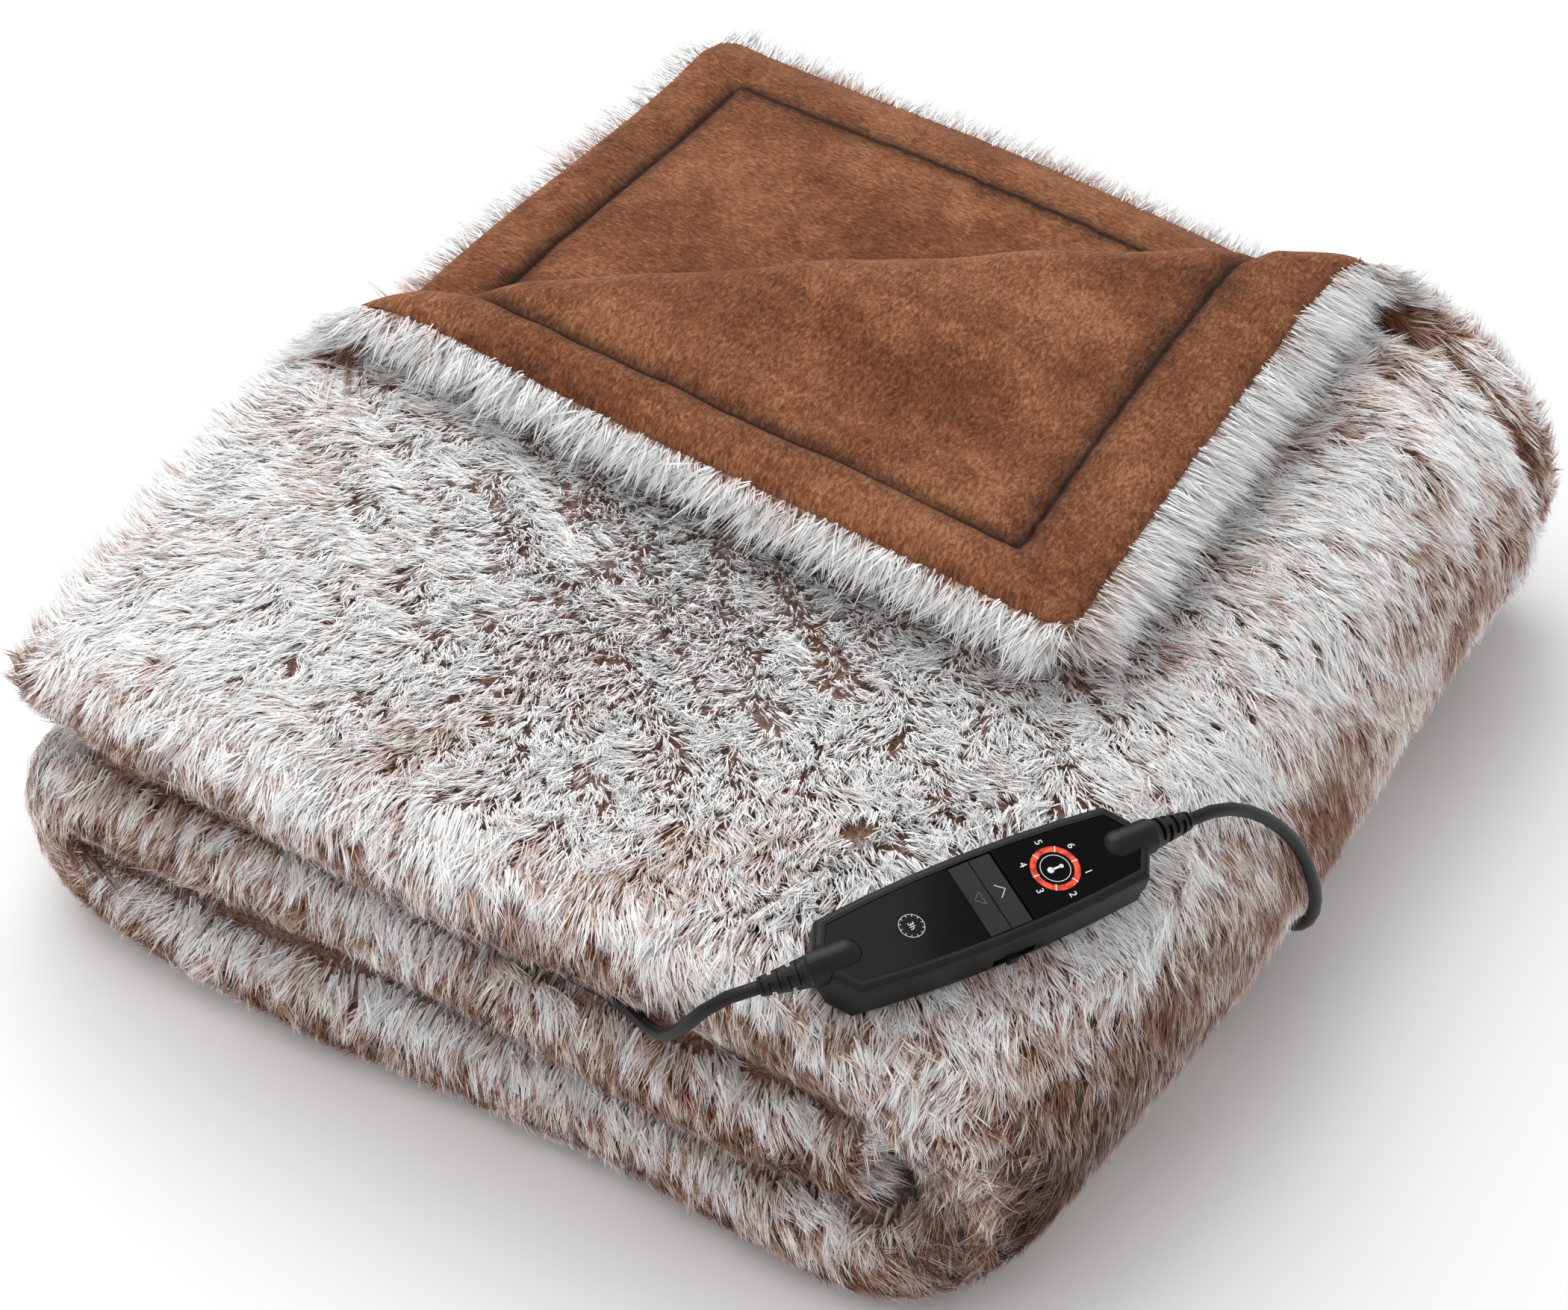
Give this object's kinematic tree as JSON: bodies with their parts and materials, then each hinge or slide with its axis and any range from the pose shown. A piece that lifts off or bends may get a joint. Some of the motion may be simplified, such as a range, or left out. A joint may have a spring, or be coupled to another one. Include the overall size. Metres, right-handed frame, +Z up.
{
  "type": "electric heated blanket",
  "caption": "Folded heated blanket of faux fur backed with short plush, one corner turned back, with a lead-mounted handset lying on it.",
  "frame": {"origin": "on the surface the blanket lies on, under the middle of the folded stack's box", "axes": "+Z up, +X towards the large rounded fold, -Y towards the face with three stacked fold edges"},
  "size_m": [0.5781, 0.7536, 0.2105],
  "materials": {
    "faux_fur": "long pile, white tips over taupe brown roots",
    "short_plush": "short brown nap",
    "charcoal_shell": "fine matte",
    "gloss_black": "gloss",
    "satin_grey": "satin",
    "black_rubber": "smooth",
    "black_tie": "woven",
    "plated_pin": "plated"
  },
  "bodies": {
    "blanket": {"fur_panel": "faux_fur", "plush_panel": "short_plush", "handset_base": "charcoal_shell", "handset_cover": "charcoal_shell", "panel_lower": "gloss_black", "panel_upper": "gloss_black", "relief_blanket": "black_rubber", "relief_mains": "black_rubber", "lead_blanket": "black_rubber", "lead_mains": "black_rubber", "mains_coil": "black_rubber", "coil_tie": "black_tie", "plug_body": "black_rubber", "plug_pin_left": "plated_pin", "plug_pin_right": "plated_pin"},
    "down_key": {"key_down": "satin_grey"},
    "up_key": {"key_up": "satin_grey"},
    "switch_knob": {"side_switch": "satin_grey"}
  },
  "joints": [
    {"name": "down_key_press", "type": "slide", "parent": "blanket", "child": "down_key", "axis": [-0.2544, 0.0866, -0.9632], "range_m": [0, 0.0008], "stiffness_N_per_m": 800},
    {"name": "up_key_press", "type": "slide", "parent": "blanket", "child": "up_key", "axis": [-0.2544, 0.0866, -0.9632], "range_m": [0, 0.0008], "stiffness_N_per_m": 800},
    {"name": "switch_slide", "type": "slide", "parent": "blanket", "child": "switch_knob", "axis": [0.4811, 0.8754, -0.0483], "range_m": [0, 0.007]}
  ]
}
